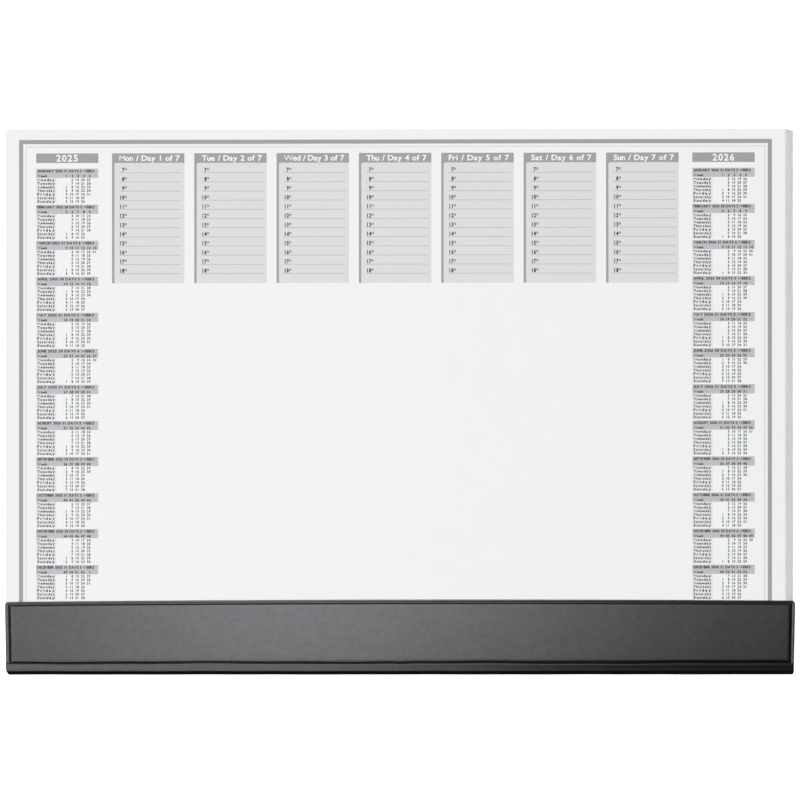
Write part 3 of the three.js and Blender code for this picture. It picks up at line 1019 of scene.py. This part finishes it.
# %% Lamp and surround
SURROUND = 0.02
LAMP_PLACE, LAMP_SIZE, LAMP_POWER = (-1.8, 0.8, 9.2), 12.0, 1390   # metres, metres, watts
scene.view_settings.view_transform = "Standard"


def soft_surround(strength):
    """A white world of even strength."""
    world = bpy.data.worlds.new("surround")
    world.use_nodes = True
    world.node_tree.nodes["Background"].inputs["Color"].default_value = (1, 1, 1, 1)
    world.node_tree.nodes["Background"].inputs["Strength"].default_value = strength
    scene.world = world


def softbox(name, place, size, power):
    """A square area lamp at a place, turned to the middle of the pad, unseen in reflections."""
    data = bpy.data.lights.new(name, "AREA")
    data.shape = "RECTANGLE"
    data.size = data.size_y = size
    data.energy = power
    lamp = bpy.data.objects.new(name, data)
    lamp.location = place
    lamp.rotation_euler = (-Vector(place)).to_track_quat("-Z", "Y").to_euler()
    lamp.visible_glossy = False
    scene.collection.objects.link(lamp)


soft_surround(SURROUND)
softbox("overhead", LAMP_PLACE, LAMP_SIZE, LAMP_POWER)
print("lamp of", LAMP_POWER, "W,", LAMP_SIZE, "m square")

# %% [markdown]
# ## Reflections in the film
#
# Dark glossy film shows what is above it. A photographer hangs graduated boards there, to give
# it a broad sheen. Here a first board over the strip is brightest left of the middle and fades to
# the right. Its front edge slants back to the right, so that the band in front of the hinge gets
# dark there. A second board in front of it lights the left of the band. Only reflections see the
# boards, and their light is a little cold. Area lamps could do this too, but each is equally
# bright all over, and the sheen would have an edge.

# %% Graduated boards
BOARD_HEIGHT = 0.36           # this and the other places of the boards are in metres
BOARD_PEAK = 5.5              # the glow that a ramp colour of 1 stands for
BOARD_TINT = (0.965, 0.99, 1.03)
BOARD_LEFT, BOARD_RIGHT = -0.55, 0.5
UNSEEN_BY = ("camera", "diffuse", "transmission", "volume_scatter", "shadow")
PANEL_GLOW = ((-0.55, 4.5), (-0.43, 4.5), (-0.35, 2.3), (-0.135, 5.3), (0.285, 1.15), (0.5, 1.2))
BAND_GLOW = ((-0.55, 3.6), (-0.16, 3.8), (0.15, 0.0))


def graduated_board(name, front, rear, stops):
    """A board over the strip that only reflections see, from y front, a pair for the left and
    the right end, to y rear. Its glow changes along x: stops gives pairs of x and glow, with a
    smooth change from one to the next."""
    material, tree, output = new_material(name)
    place = add_node(tree, "ShaderNodeTexCoord").outputs["Object"]
    across = add_node(tree, "ShaderNodeSeparateXYZ", {"Vector": place})
    share = add_node(tree, "ShaderNodeMapRange",
                     {"Value": across.outputs["X"], "From Min": BOARD_LEFT,
                      "From Max": BOARD_RIGHT})
    ramp = add_node(tree, "ShaderNodeValToRGB", {"Fac": share.outputs["Result"]})
    ramp.color_ramp.interpolation = "EASE"
    elements = ramp.color_ramp.elements
    while len(elements) < len(stops):
        elements.new(0.5)
    for element, (x, glow) in zip(elements, stops):
        element.position = (x - BOARD_LEFT) / (BOARD_RIGHT - BOARD_LEFT)
        element.color = [glow / BOARD_PEAK * part for part in BOARD_TINT] + [1.0]
    light = add_node(tree, "ShaderNodeEmission",
                     {"Color": ramp.outputs["Color"], "Strength": BOARD_PEAK})
    tree.links.new(light.outputs["Emission"], output.inputs["Surface"])
    mesh = bpy.data.meshes.new(name)
    corners = ((BOARD_LEFT, front[0]), (BOARD_LEFT, rear), (BOARD_RIGHT, rear),
               (BOARD_RIGHT, front[1]))
    mesh.from_pydata([(x, y, BOARD_HEIGHT) for x, y in corners], [], [(0, 1, 2, 3)])
    mesh.materials.append(material)
    board = bpy.data.objects.new(name, mesh)
    for kind in UNSEEN_BY:
        setattr(board, f"visible_{kind}", False)
    scene.collection.objects.link(board)
    print(name, "from", front, "to", rear)


graduated_board("panel_board", (-0.242, -0.198), 0.2, PANEL_GLOW)
graduated_board("band_board", (-0.45, -0.45), -0.28, BAND_GLOW)
